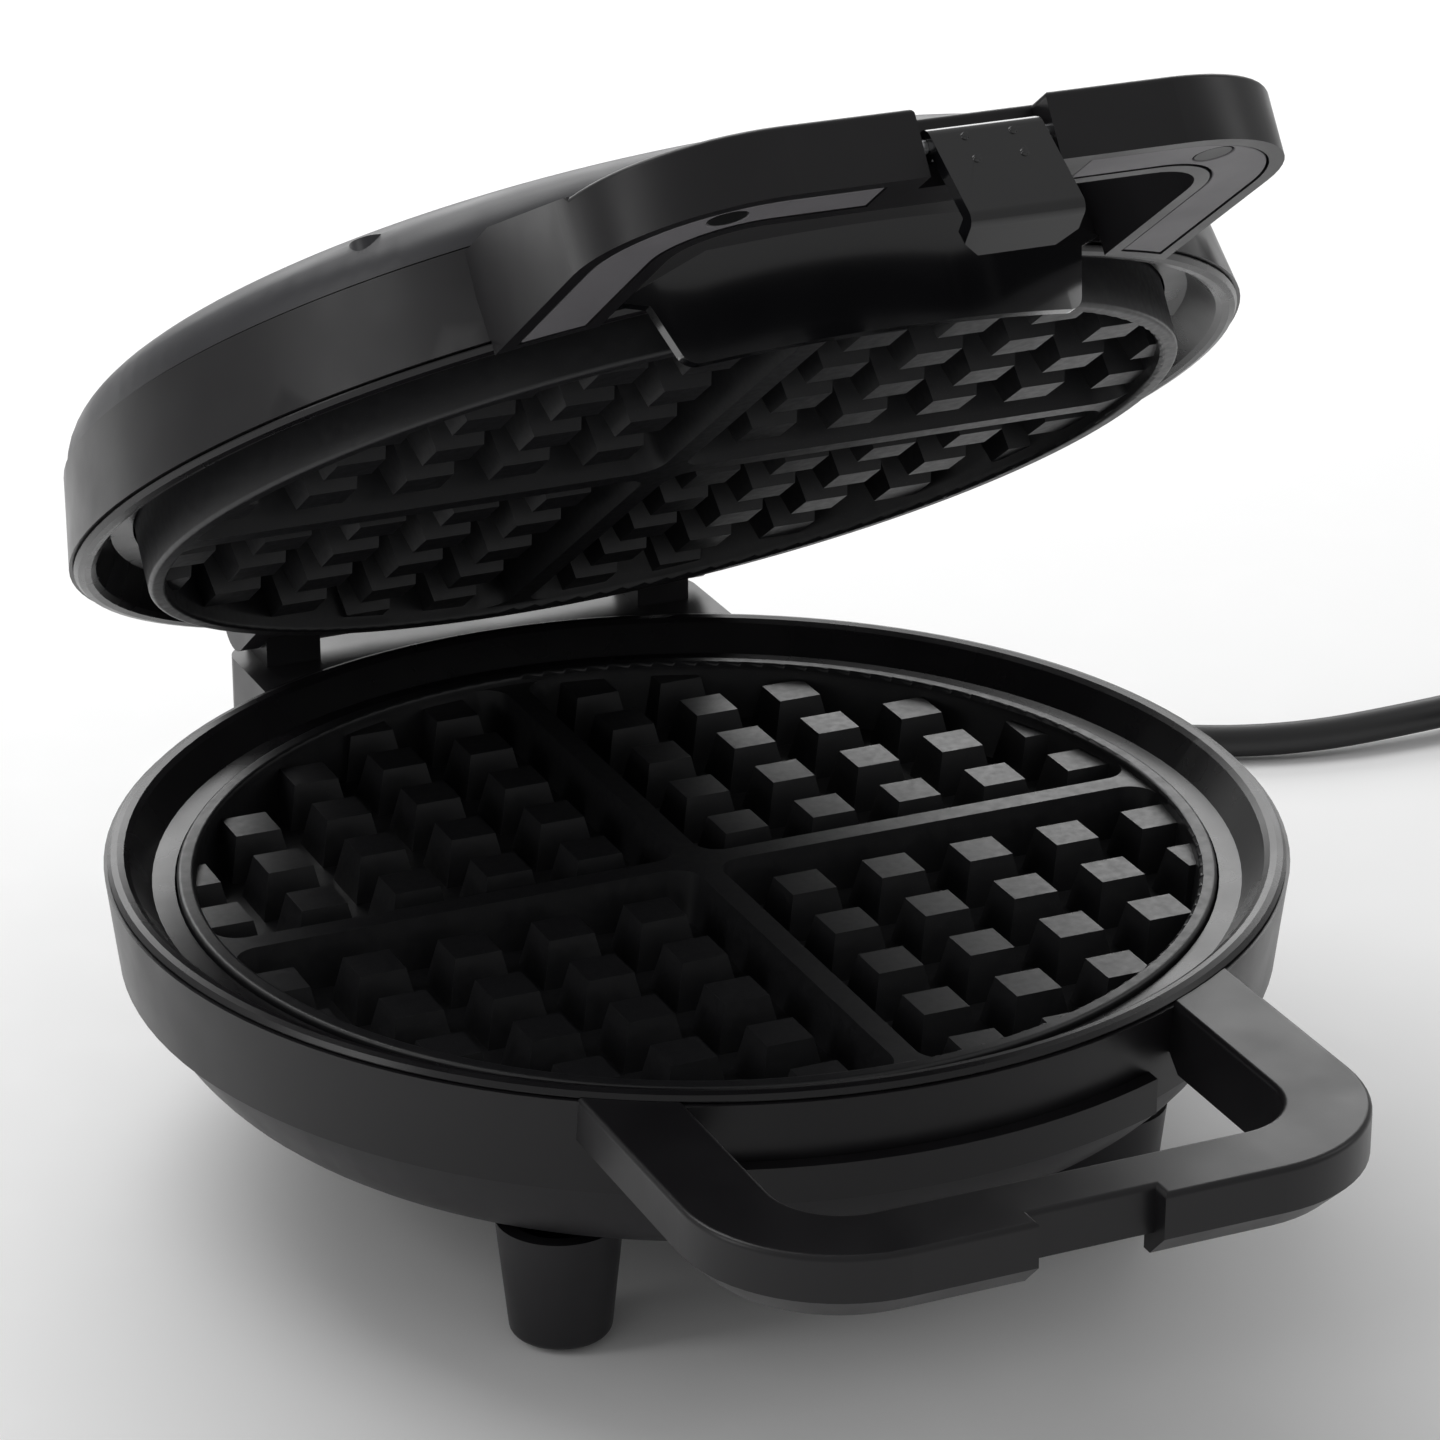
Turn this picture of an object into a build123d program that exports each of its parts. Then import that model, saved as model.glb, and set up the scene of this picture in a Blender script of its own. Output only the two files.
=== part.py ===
from build123d import *
import math
import os

# Round waffle maker, lid open as in the photograph. Millimetres, +Z up.
# The origin is on the table, under the middle of the cooking plates.
# The handle points to -Y and the hinge is at +Y.

# Driving sizes of the casing
rim_height = 60.0            # table to the top of the lower bead
belt_radius = 106.0          # outside of both casing rings
belt_height = 19.0           # lower ring, top to bottom edge
belt_draft = 2.0             # how much each ring narrows away from the rim
wall = 2.5                   # moulded wall
seam = 0.4                   # shadow gap between two fixed covers
running_gap = 0.5            # gap beside a turning piece
bead_drop = 1.6              # casing ring edge below the bead top
lid_gap = 0.7                # between the two beads when shut
lid_height = 35.0            # lid rim to the top of the dome
lid_belt_height = 16.3

# Cooking plates
plate_inset = 12.8           # casing ring outside the cooking plate
plate_radius = belt_radius - plate_inset
ring_width = 3.2
ring_recess = 4.8            # lower plate ring below the bead
ring_reach = 4.0             # upper plate ring below the lid rim
plate_gap_depth = 11.0       # ring edge to pocket floor
peg_recess = 2.5             # peg tops below the ring edge
divider_recess = 1.5
peg_pitch = 17.6
peg_top = 8.5
peg_first = 14.6             # first peg's centre from the plate's middle lines
peg_draft = 12.0
pegs_per_side = 5
divider_width = 4.5
divider_draft = 8.0
pocket_corner = 5.0
plate_floor = 3.0
pocket_reach = plate_radius - 5.2  # a peg whose inner corner is past this is left out

# Handles
handle_reach = 49.0
handle_front = belt_radius + handle_reach
handle_bar = 14.0
handle_half = 59.7
handle_strut = 15.0
handle_corner = 27.0
loop_corner = 12.0
lower_handle_top = rim_height - 1.0
lower_handle_height = 12.5
lower_handle_chamfer = 4.5
lid_handle_bottom = rim_height - 0.3
lid_handle_height = 11.0
lid_handle_root = 18.0
notch_width = 22.0
lower_notch_depth = 3.5
catch_drop = 8.4             # handle top down to the face the hook pulls on
lid_notch_depth = 5.4

# Hinge
hinge_y = belt_radius + 5.0
hinge_z = rim_height + 8.0
hinge_half = 49.0
block_length = 58.0
knuckle_place = 39.0
knuckle_width = 11.0
knuckle_radius = 6.0
pin_radius = 1.5
pin_clearance = 0.08
lid_open_angle = 35.0
ear_reach = 36.0             # hinge axis to the front of the lid's ears

# Latch
latch_width = 19.0
latch_radius = 2.6
latch_plate = 2.4
latch_bend = 17.4            # pivot to the underside of the hook
latch_tongue = 2.6
latch_reach = 5.6            # hook tip behind the pivot
latch_pin_radius = 1.2
latch_pivot_y = -(handle_front - latch_radius + 0.2)
latch_pivot_z = rim_height + 5.0
latch_rest_angle = 24.0
pip_radius = 0.9

# Lower bowl and legs
bowl_bottom = 21.5
bowl_flat = belt_radius - 28.0
bowl_shoulder = (belt_radius - 11.5, bowl_bottom + 7.5)
bowl_rim = belt_radius - 5.1
leg_x = 52.0
leg_y = 60.0
leg_top_radius = 11.0
leg_foot_radius = 8.75
foot_rise = 0.8
foot_radius = 5.5

# Heating
element_radius = 3.3
element_ring = 60.0
element_clearance = 0.1
element_boss = 4.0
plate_boss_ring = 38.0
plate_boss_radius = 4.5
post_ring = 70.0
post_radius = 3.5
post_angles = (20, 160, 200, 340)
reflector_radius = plate_radius - 7.2
reflector_sheet = 0.8
screw_radius = 1.5
screw_head = 3.0
screw_head_height = 2.0
thread_clearance = 0.05
screw_ring = belt_radius - 8.8

# Mains cord
cord_radius = 3.5
cord_rest = 3.6              # cord axis above the table
exit_x = 26.0
exit_z = rim_height - 10.0
block_back = hinge_y + 7.0
relief_length = 26.0
coil_turns = 2.25
coil_outer = 42.0
coil_pitch = 8.7
coil_lift = 7.5
coil_rest = 4.8
plug_lead = 24.0
plug_length = 28.0
plug_width = 25.0
plug_height = 2 * (coil_rest + coil_lift - 0.1)

# Places worked out from the sizes above
belt_top = rim_height - bead_drop
belt_bottom = rim_height - belt_height
root_radius = belt_radius - belt_draft - 0.6
lid_rim = rim_height + lid_gap
lid_belt_bottom = lid_rim + bead_drop
lid_belt_top = lid_belt_bottom + lid_belt_height
lower_ring_top = rim_height - ring_recess
upper_ring_bottom = rim_height - ring_reach
relief_end = block_back + relief_length + 2.0
hinge_axis = Axis((0, hinge_y, hinge_z), (1, 0, 0))
latch_axis = Axis((0, latch_pivot_y, latch_pivot_z), (1, 0, 0))


def finish(piece, label):
    """Names a finished piece and writes its file."""
    piece.label = label
    export_step(piece, f"parts/{label}.step")


def finish_lid(piece, label):
    """Turns a piece that was drawn on the shut lid up to the open rest pose."""
    finish(piece.rotate(hinge_axis, -lid_open_angle), label)


def ring_profile(points):
    """Draws a closed outline of radius and height, ready to be revolved."""
    with BuildLine() as outline:
        Polyline(*points, close=True)
    make_face(outline.edges())


def belt_ring(bottom, top, low_radius, high_radius):
    """A thin upright ring wall whose outside leans from one radius to another."""
    with BuildSketch(Plane.XZ) as section:
        ring_profile([
            (low_radius, bottom),
            (high_radius, top),
            (high_radius - wall, top),
            (low_radius - wall, bottom),
        ])
    revolve(section.sketch, axis=Axis.Z)


def loop_outline(inset_outer=0.0, inset_inner=0.0):
    """The U of a loop handle seen from above, with rounded front corners."""
    with BuildLine() as outside:
        half = handle_half - inset_outer
        front = -(handle_front - inset_outer)
        FilletPolyline(
            (-half, 0), (-half, front), (half, front), (half, 0),
            radius=handle_corner - inset_outer,
        )
        Line((half, 0), (-half, 0))
    make_face(outside.edges())
    with BuildLine() as inside:
        half = handle_half - handle_strut + inset_inner
        front = -(handle_front - handle_bar + inset_inner)
        FilletPolyline(
            (-half, 0), (-half, front), (half, front), (half, 0),
            radius=loop_corner + inset_inner,
        )
        Line((half, 0), (-half, 0))
    make_face(inside.edges(), mode=Mode.SUBTRACT)


def block_outline(half, back, corner):
    """The hinge block seen from above, with rounded rear corners."""
    start = back - block_length
    with BuildLine() as outline:
        FilletPolyline((-half, start), (-half, back), (half, back), (half, start), radius=corner)
        Line((half, start), (-half, start))
    make_face(outline.edges())


# Lower casing ring with its loop handle and hinge block
block_top = belt_top + 0.8
ledge_top = rim_height - 12.5
ledge_half = 40.0
ledge_depth = 1.5
lug_lift = 4.9               # belt edge up to the lugs that the bowl hangs from
lug_height = 2.6
boss_radius = 3.3
cover_thickness = 2.0
cover_screw_x = 41.0
cover_screw_y = hinge_y - 4.0
with BuildPart() as base_belt:
    with BuildSketch(Plane.XY.offset(lower_handle_top - lower_handle_height)):
        loop_outline()
        Circle(root_radius, mode=Mode.SUBTRACT)
    extrude(amount=lower_handle_height)
    low_edges = base_belt.edges().filter_by(
        lambda edge: abs(edge.center().Z - (lower_handle_top - lower_handle_height)) < 0.01
        and edge.bounding_box().min.Y < -belt_radius / 2
    )
    outer_edges = low_edges.filter_by(
        lambda edge: abs(edge.center().X) > handle_half - handle_corner
        and abs(edge.center().X) > handle_half - handle_strut / 2
        or edge.center().Y < -(handle_front - handle_bar / 2)
    )
    chamfer(outer_edges, lower_handle_chamfer)
    with BuildSketch(Plane.XY.offset(lower_handle_top - lower_handle_height)):
        loop_outline(lower_handle_chamfer + 2.0, wall)
        Circle(belt_radius + wall, mode=Mode.SUBTRACT)
    extrude(amount=lower_handle_height - wall, mode=Mode.SUBTRACT)
    with Locations((0, -handle_front, rim_height - 10)):
        Box(notch_width, 2 * lower_notch_depth, 40, mode=Mode.SUBTRACT)
    with Locations((0, -handle_front, lower_handle_top - catch_drop)):
        Box(notch_width, 19.0, 30, align=(Align.CENTER, Align.CENTER, Align.MAX), mode=Mode.SUBTRACT)
    top_edges = base_belt.edges().filter_by(
        lambda edge: abs(edge.center().Z - lower_handle_top) < 0.01
        and edge.center().Y < -belt_radius
        and abs(edge.bounding_box().size.Z) < 0.01
    )
    fillet(top_edges, 1.0)
    with BuildSketch(Plane.XY.offset(belt_bottom)):
        block_outline(hinge_half, block_back, 6.0)
        Circle(root_radius, mode=Mode.SUBTRACT)
    extrude(amount=block_top - belt_bottom)
    with BuildSketch(Plane.XY.offset(belt_bottom)):
        block_outline(hinge_half - wall, block_back - wall, 4.0)
        Circle(belt_radius, mode=Mode.SUBTRACT)
    extrude(amount=block_top - belt_bottom - wall, mode=Mode.SUBTRACT)
    with BuildSketch(Plane.XY.offset(belt_top)):
        Circle(belt_radius - 0.3)
    extrude(amount=belt_height, mode=Mode.SUBTRACT)
    for side in (-1, 1):
        with BuildSketch(Plane.YZ.offset(side * knuckle_place)):
            with Locations((hinge_y, hinge_z)):
                Circle(knuckle_radius)
            with Locations((hinge_y, block_top - 1.0)):
                Rectangle(2 * knuckle_radius, hinge_z - block_top + 1.0, align=(Align.CENTER, Align.MIN))
            with Locations((hinge_y, hinge_z)):
                Circle(pin_radius + pin_clearance, mode=Mode.SUBTRACT)
        extrude(amount=knuckle_width / 2, both=True)
    belt_ring(belt_bottom, belt_top, belt_radius - belt_draft, belt_radius)
    with BuildSketch(Plane.XY.offset(belt_bottom)):
        Circle(belt_radius + ledge_depth)
        Circle(root_radius, mode=Mode.SUBTRACT)
        with Locations((0, -belt_radius)):
            Rectangle(2 * ledge_half, belt_radius, mode=Mode.INTERSECT)
    extrude(amount=ledge_top - belt_bottom)
    with BuildSketch(Plane.XY.offset(belt_bottom + lug_lift)):
        with PolarLocations(screw_ring, 4, start_angle=45):
            Circle(boss_radius)
            with Locations((2.7, 0)):
                Rectangle(5.4, 2 * boss_radius)
            Circle(screw_radius + 0.2, mode=Mode.SUBTRACT)
    extrude(amount=lug_height)
    with BuildSketch(Plane.XY.offset(belt_bottom + cover_thickness + 0.3)):
        with Locations((-cover_screw_x, cover_screw_y), (cover_screw_x, cover_screw_y)):
            Circle(3.6)
            Circle(screw_radius + thread_clearance, mode=Mode.SUBTRACT)
    extrude(amount=block_top - wall - belt_bottom - cover_thickness)
    with Locations((0, belt_radius - wall / 2, (belt_top + belt_bottom) / 2)):
        Box(40, 8, 9, mode=Mode.SUBTRACT)
    with BuildSketch(Plane.XZ.offset(-block_back - 1)):
        with Locations((exit_x, exit_z)):
            Circle(4.8 + thread_clearance)
    extrude(amount=wall + 2, mode=Mode.SUBTRACT)
finish(base_belt.part, "base_belt")

# Small cover under the hinge block
with BuildPart() as rear_cover:
    with BuildSketch(Plane.XY.offset(belt_bottom)):
        block_outline(hinge_half - wall - seam, block_back - wall - seam, 4.0 - seam)
        Circle(belt_radius + seam, mode=Mode.SUBTRACT)
        with Locations((-cover_screw_x, cover_screw_y), (cover_screw_x, cover_screw_y)):
            Circle(screw_radius + 0.2, mode=Mode.SUBTRACT)
    extrude(amount=cover_thickness)
finish(rear_cover.part, "rear_cover")

with BuildPart() as rear_cover_screws:
    with Locations((-cover_screw_x, cover_screw_y, belt_bottom), (cover_screw_x, cover_screw_y, belt_bottom)):
        Cylinder(screw_head, screw_head_height, align=(Align.CENTER, Align.CENTER, Align.MAX))
        Cylinder(screw_radius, 11.0, align=(Align.CENTER, Align.CENTER, Align.MIN))
finish(rear_cover_screws.part, "rear_cover_screws")


def bowl_face(inset):
    """Half section of the bowl; a larger inset gives the inside surface."""
    floor = bowl_bottom + inset
    with BuildLine() as outline:
        bottom = Line((0, floor), (bowl_flat, floor))
        turn = TangentArc(
            (bowl_flat, floor),
            (bowl_shoulder[0] - 0.8 * inset, bowl_shoulder[1] + 0.6 * inset),
            tangent=(1, 0),
        )
        side = TangentArc(turn @ 1, (bowl_rim - inset, belt_bottom), tangent=turn % 1)
        Line(side @ 1, (0, belt_bottom))
        Line((0, belt_bottom), (0, floor))
    make_face(outline.edges())


# Lower bowl with four hollow legs
tongue_height = 4.5
reflector_z = bowl_bottom + wall + 7.8
with BuildPart() as bowl_bosses:
    with BuildSketch(Plane.XZ):
        bowl_face(1.0)
    revolve(axis=Axis.Z)
    with PolarLocations(screw_ring, 4, start_angle=45):
        Cylinder(boss_radius, 200, mode=Mode.INTERSECT)
with BuildPart() as base_bowl:
    with BuildSketch(Plane.XZ):
        bowl_face(0)
    revolve(axis=Axis.Z)
    with Locations(*[(sx * leg_x, sy * leg_y, foot_rise) for sx in (-1, 1) for sy in (-1, 1)]):
        Cone(leg_foot_radius, leg_top_radius, bowl_bottom + 1.0 - foot_rise,
             align=(Align.CENTER, Align.CENTER, Align.MIN))
    fillet(base_bowl.edges().group_by(Axis.Z)[0], 1.6)
    with BuildSketch(Plane.XZ):
        bowl_face(wall)
    revolve(axis=Axis.Z, mode=Mode.SUBTRACT)
    with BuildSketch(Plane.XY.offset(belt_bottom)):
        Circle(bowl_rim)
        Circle(bowl_rim - wall, mode=Mode.SUBTRACT)
        with PolarLocations(screw_ring, 4, start_angle=45):
            Circle(boss_radius)
    extrude(amount=tongue_height)
    add(bowl_bosses.part)
    with BuildSketch(Plane.XY.offset(belt_bottom + tongue_height)):
        with PolarLocations(screw_ring, 4, start_angle=45):
            Circle(screw_radius + thread_clearance)
    extrude(amount=-tongue_height - 3.0, mode=Mode.SUBTRACT)
    with Locations(*[(sx * leg_x, sy * leg_y, 4.0) for sx in (-1, 1) for sy in (-1, 1)]):
        Cone(leg_foot_radius - wall, leg_top_radius - wall, bowl_bottom + wall - 4.0,
             align=(Align.CENTER, Align.CENTER, Align.MIN), mode=Mode.SUBTRACT)
    with Locations(*[(sx * leg_x, sy * leg_y, 0) for sx in (-1, 1) for sy in (-1, 1)]):
        Cylinder(foot_radius + 0.2, 2.2, align=(Align.CENTER, Align.CENTER, Align.MIN), mode=Mode.SUBTRACT)
    with BuildSketch(Plane.XY.offset(bowl_bottom + wall - 0.5)):
        for angle in post_angles:
            with Locations((post_ring * math.cos(math.radians(angle)), post_ring * math.sin(math.radians(angle)))):
                Circle(post_radius)
                Circle(screw_radius + thread_clearance, mode=Mode.SUBTRACT)
    extrude(amount=reflector_z - bowl_bottom - wall + 0.5)
    with BuildSketch(Plane.XY.offset(bowl_bottom - 1)):
        with PolarLocations(46, 10):
            SlotOverall(24, 3.2)
    extrude(amount=wall + 2, mode=Mode.SUBTRACT)
finish(base_bowl.part, "base_bowl")

with BuildPart() as base_screws:
    with PolarLocations(screw_ring, 4, start_angle=45):
        with Locations((0, 0, belt_bottom + lug_lift + lug_height)):
            Cylinder(screw_head, screw_head_height, align=(Align.CENTER, Align.CENTER, Align.MIN))
            Cylinder(screw_radius, 9.0, align=(Align.CENTER, Align.CENTER, Align.MAX))
finish(base_screws.part, "base_screws")

with BuildPart() as foot_pads:
    with Locations(*[(sx * leg_x, sy * leg_y, 0) for sx in (-1, 1) for sy in (-1, 1)]):
        Cylinder(foot_radius, 2.2, align=(Align.CENTER, Align.CENTER, Align.MIN))
finish(foot_pads.part, "foot_pads")


def bezel_points(edge, out):
    """Section of a bead ring: round bead, slope inward, flat gutter.

    edge is the height of the bead's crown and out is 1 for a bead that faces
    up and -1 for one that faces down."""
    depth = bezel_floor_depth if out > 0 else lid_bezel_depth
    return [
        (belt_radius - 0.7, edge - out * 1.1),
        (belt_radius - 1.3, edge - out * 0.3),
        (belt_radius - 2.4, edge),
        (belt_radius - 3.6, edge - out * 0.2),
        (belt_radius - 4.6, edge - out * 0.9),
        (gutter_radius, edge - out * depth),
        (plate_radius + seam, edge - out * (depth + 0.1)),
        (plate_radius + seam, edge - out * (depth + bezel_sheet)),
        (gutter_radius + 0.8, edge - out * (depth + bezel_sheet)),
        (belt_radius - 4.4, edge - out * 3.4),
        (belt_radius - 3.0, edge - out * 3.4),
        (belt_radius - 3.0, edge - out * 1.3),
        (belt_radius - 0.7, edge - out * 1.3),
    ]


# The two bead rings round the cooking plates
bezel_sheet = 1.5
gutter_radius = plate_radius + 4.4
bezel_floor_depth = 5.9
lid_bezel_depth = 6.5
with BuildPart() as base_bezel:
    with BuildSketch(Plane.XZ):
        ring_profile(bezel_points(rim_height, 1))
    revolve(axis=Axis.Z)
finish(base_bezel.part, "base_bezel")

with BuildPart() as lid_bezel:
    with BuildSketch(Plane.XZ):
        ring_profile(bezel_points(lid_rim, -1))
    revolve(axis=Axis.Z)
finish_lid(lid_bezel.part, "lid_bezel")


def peg_places():
    """Centres of the pegs, quarter by quarter, that start inside the ring."""
    steps = [peg_first + peg_pitch * step for step in range(pegs_per_side)]
    places = []
    for x in steps:
        for y in steps:
            if math.hypot(x - peg_top / 2, y - peg_top / 2) < pocket_reach:
                places += [(sx * x, sy * y) for sx in (-1, 1) for sy in (-1, 1)]
    return places


def peg_field(floor, height):
    """All the pegs of one plate, standing on its floor and cut off by the ring."""
    base = peg_top + 2 * height * math.tan(math.radians(peg_draft))
    with BuildPart() as pegs:
        with BuildSketch(Plane.XY.offset(floor)):
            with Locations(*peg_places()):
                Rectangle(base, base)
        extrude(amount=height, taper=peg_draft)
        with Locations((0, 0, floor)):
            Cylinder(plate_radius - ring_width / 2, 3 * plate_gap_depth, mode=Mode.INTERSECT)
    return pegs.part


def plate_body(face):
    """One cast cooking plate. face is the height of its ring edge; it faces up."""
    floor = face - plate_gap_depth
    back = floor - plate_floor
    with BuildPart() as plate:
        with BuildSketch(Plane.XY.offset(back)):
            Circle(plate_radius)
        extrude(amount=face - back)
        with BuildSketch(Plane.XY.offset(face)):
            Circle(plate_radius - ring_width)
        extrude(amount=-divider_recess, mode=Mode.SUBTRACT)
        with BuildSketch(Plane.XY.offset(face - divider_recess)):
            Circle(plate_radius - ring_width)
            Rectangle(3 * plate_radius, divider_width, mode=Mode.SUBTRACT)
            Rectangle(divider_width, 3 * plate_radius, mode=Mode.SUBTRACT)
            fillet(vertices(), pocket_corner)
        extrude(amount=-(plate_gap_depth - divider_recess), taper=divider_draft, mode=Mode.SUBTRACT)
        add(peg_field(floor, plate_gap_depth - peg_recess))
        fillet(plate.edges().filter_by(GeomType.CIRCLE).group_by(Axis.Z)[-1], 0.8)
        with BuildSketch(Plane.XY.offset(back)):
            Circle(element_ring + 5)
            Circle(element_ring - 5, mode=Mode.SUBTRACT)
        extrude(amount=-element_boss)
        with BuildSketch(Plane.XY.offset(back)):
            with PolarLocations(plate_boss_ring, 4, start_angle=45):
                Circle(plate_boss_radius)
        extrude(amount=-(back - reflector_top - 0.2) if face == lower_ring_top else -boss_drop)
        with BuildSketch(Plane.XZ):
            with Locations((element_ring, back - element_boss)):
                Circle(element_radius + element_clearance)
        revolve(axis=Axis.Z, mode=Mode.SUBTRACT)
        with BuildSketch(Plane.XY.offset(back - element_boss * 3)):
            with PolarLocations(plate_boss_ring, 4, start_angle=45):
                Circle(screw_radius + thread_clearance)
        extrude(amount=element_boss * 3 + 1, mode=Mode.SUBTRACT)
        with BuildSketch(Plane.XY.offset(back)):
            with Locations((0, element_ring)):
                Rectangle(44, 14)
        extrude(amount=-element_boss - 1, mode=Mode.SUBTRACT)
    return plate.part


def element_tube(height):
    """A sheathed heating loop whose two ends turn out to the back."""
    with BuildPart() as tube:
        with BuildLine(Plane.XY.offset(height)) as path:
            loop = CenterArc((0, 0), element_ring, 108, 324)
            left = JernArc(loop @ 0, -(loop % 0), 8, 72)
            right = JernArc(loop @ 1, loop % 1, 8, -72)
            Line(left @ 1, left @ 1 + Vector(0, 14, 0))
            Line(right @ 1, right @ 1 + Vector(0, 14, 0))
        ends = path.wires()[0]
        with BuildSketch(Plane(ends @ 0, z_dir=ends % 0)):
            Circle(element_radius)
        sweep(path=ends)
        tips = [point for point in (ends @ 0, ends @ 1)]
        for tip in tips:
            with Locations(Plane(tip, z_dir=(0, 1, 0))):
                Cylinder(1.2, 6.0, align=(Align.CENTER, Align.CENTER, Align.MIN))
    return tube.part


def reflector_pan(height, up):
    """A thin pressed pan with a rim turned up or down."""
    with BuildPart() as pan:
        with BuildSketch(Plane.XY.offset(height)):
            Circle(reflector_radius)
            with PolarLocations(plate_boss_ring, 4, start_angle=45):
                Circle(screw_radius + 0.2, mode=Mode.SUBTRACT)
            for angle in post_angles:
                place = (post_ring * math.cos(math.radians(angle)), post_ring * math.sin(math.radians(angle)))
                with Locations(place):
                    Circle(screw_radius + 0.2, mode=Mode.SUBTRACT)
        extrude(amount=reflector_sheet)
        with BuildSketch(Plane.XY.offset(height)):
            Circle(reflector_radius)
            Circle(reflector_radius - reflector_sheet, mode=Mode.SUBTRACT)
        extrude(amount=up * 6.0)
        with Locations((0, reflector_radius, height + up * 5)):
            Box(44, 12, 7.6, mode=Mode.SUBTRACT)
    return pan.part


reflector_top = reflector_z + reflector_sheet
lower_back = lower_ring_top - plate_gap_depth - plate_floor
upper_back = upper_ring_bottom + plate_gap_depth + plate_floor
boss_drop = 8.8
lid_reflector_z = upper_back + boss_drop + 0.2

# Lower cooking plate, its heater and the pan under it
lower_plate = plate_body(lower_ring_top)
finish(lower_plate, "lower_plate")
finish(element_tube(lower_back - element_boss), "lower_element")
finish(reflector_pan(reflector_z, 1), "lower_reflector")

with BuildPart() as lower_plate_screws:
    with PolarLocations(plate_boss_ring, 4, start_angle=45):
        with Locations((0, 0, reflector_z)):
            Cylinder(screw_head, screw_head_height, align=(Align.CENTER, Align.CENTER, Align.MAX))
            Cylinder(screw_radius, 7.0, align=(Align.CENTER, Align.CENTER, Align.MIN))
finish(lower_plate_screws.part, "lower_plate_screws")

with BuildPart() as reflector_screws:
    for angle in post_angles:
        with Locations((post_ring * math.cos(math.radians(angle)), post_ring * math.sin(math.radians(angle)), reflector_top)):
            Cylinder(screw_head, screw_head_height, align=(Align.CENTER, Align.CENTER, Align.MIN))
            Cylinder(screw_radius, 6.0, align=(Align.CENTER, Align.CENTER, Align.MAX))
finish(reflector_screws.part, "reflector_screws")

# Thermostat, thermal fuse and terminal block
with BuildPart() as thermostat:
    with Locations((0, -20, lower_back - seam / 2)):
        Cylinder(8.0, 6.0, align=(Align.CENTER, Align.CENTER, Align.MAX))
        with Locations((0, 0, -1.5)):
            Box(24, 7, 1.0)
        for side in (-1, 1):
            with Locations((side * 5, 0, -7.0)):
                Box(0.8, 5, 2.4)
finish(thermostat.part, "thermostat")

with BuildPart() as thermal_fuse:
    with Locations(Location((26, 16, lower_back - seam / 2 - 2.5), (0, 90, 0))):
        Cylinder(2.5, 20)
        Cylinder(0.8, 30)
finish(thermal_fuse.part, "thermal_fuse")

block_floor = bowl_bottom + wall
terminal_y = belt_radius - 38.0
with BuildPart() as terminal_block:
    with Locations((0, terminal_y, block_floor)):
        Box(34, 12, 7.2, align=(Align.CENTER, Align.CENTER, Align.MIN))
    fillet(terminal_block.edges().filter_by(Axis.Z), 1.0)
    with Locations(*[(10 * step, terminal_y, block_floor + 7.2) for step in (-1, 0, 1)]):
        Hole(2.0, depth=3.0)
    with Locations(*[Location((10 * step, terminal_y, block_floor + 3.6), (90, 0, 0)) for step in (-1, 0, 1)]):
        Cylinder(1.5, 13.0, mode=Mode.SUBTRACT)
finish(terminal_block.part, "terminal_block")


def wire(points, radius, bend):
    """One round lead along straight runs with rounded corners."""
    with BuildPart() as lead:
        with BuildLine() as path:
            FilletPolyline(*points, radius=bend)
        route = path.wires()[0]
        with BuildSketch(Plane(route @ 0, z_dir=route % 0)):
            Circle(radius)
        sweep(path=route)
    return lead.part


with BuildPart() as mains_leads:
    for x in (-10, 10):
        add(wire(
            [
                (exit_x - 4 if x > 0 else exit_x + 1, block_back - 7.0, exit_z),
                (x * 1.2, belt_radius - 3.0, exit_z - 2),
                (x, belt_radius - 10.4, exit_z - 2),
                (x, belt_radius - 10.4, belt_bottom - 2.0),
                (x, belt_radius - 17.6, bowl_bottom + 8.5),
                (x, terminal_y + 13.0, block_floor + 3.6),
                (x, terminal_y + 6.4, block_floor + 3.6),
            ],
            1.3, 2.0,
        ))
finish(mains_leads.part, "mains_leads")

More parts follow.
